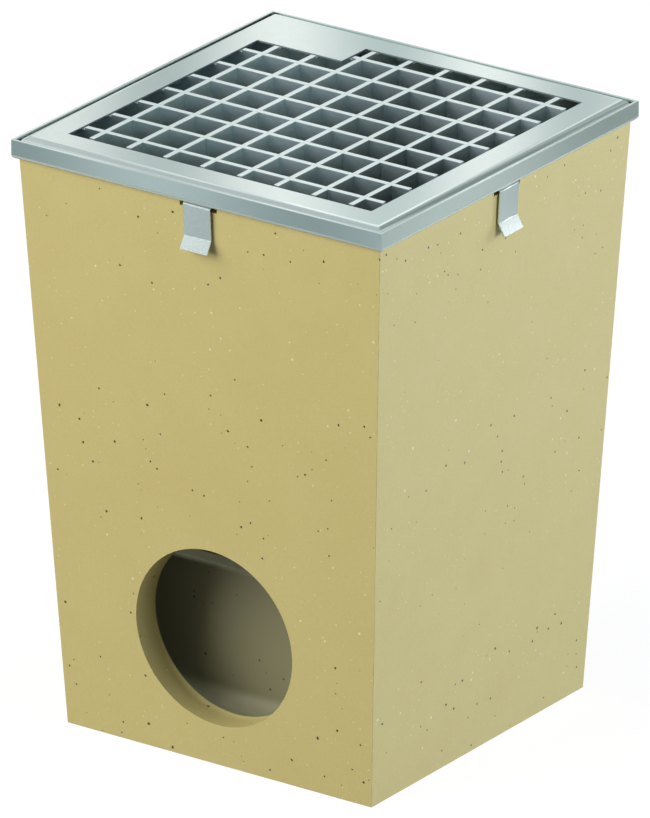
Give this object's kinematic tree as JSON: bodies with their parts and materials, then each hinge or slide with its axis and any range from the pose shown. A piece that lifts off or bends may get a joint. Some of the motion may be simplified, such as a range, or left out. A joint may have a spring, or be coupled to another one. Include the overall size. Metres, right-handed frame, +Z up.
{
  "type": "point drain",
  "caption": "Tapered square drain pot with a round outlet and silt weir, an edge frame with strip clips, and a lift-out grating of crossed bars.",
  "frame": {"origin": "centre of the pot's underside", "axes": "+Z up towards the grating, -Y out of the outlet, +X to the right seen from the outlet"},
  "size_m": [0.3046, 0.3046, 0.4248],
  "materials": {
    "polymer_concrete": "cast, matt",
    "galvanised_sheet": "hot-dip galvanised, satin",
    "galvanised_bar": "hot-dip galvanised, satin"
  },
  "bodies": {
    "root": {"body": "polymer_concrete", "frame": "galvanised_sheet", "grate_cover": "galvanised_sheet", "clip_front": "galvanised_sheet", "clip_right": "galvanised_sheet", "clip_back": "galvanised_sheet", "clip_left": "galvanised_sheet", "bearing_bar_1": "galvanised_bar", "bearing_bar_2": "galvanised_bar", "bearing_bar_3": "galvanised_bar", "bearing_bar_4": "galvanised_bar", "bearing_bar_5": "galvanised_bar", "bearing_bar_6": "galvanised_bar", "bearing_bar_7": "galvanised_bar", "bearing_bar_8": "galvanised_bar", "cross_bar_1": "galvanised_bar", "cross_bar_2": "galvanised_bar", "cross_bar_3": "galvanised_bar", "cross_bar_4": "galvanised_bar", "cross_bar_5": "galvanised_bar", "cross_bar_6": "galvanised_bar", "cross_bar_7": "galvanised_bar", "cross_bar_8": "galvanised_bar"}
  },
  "joints": []
}
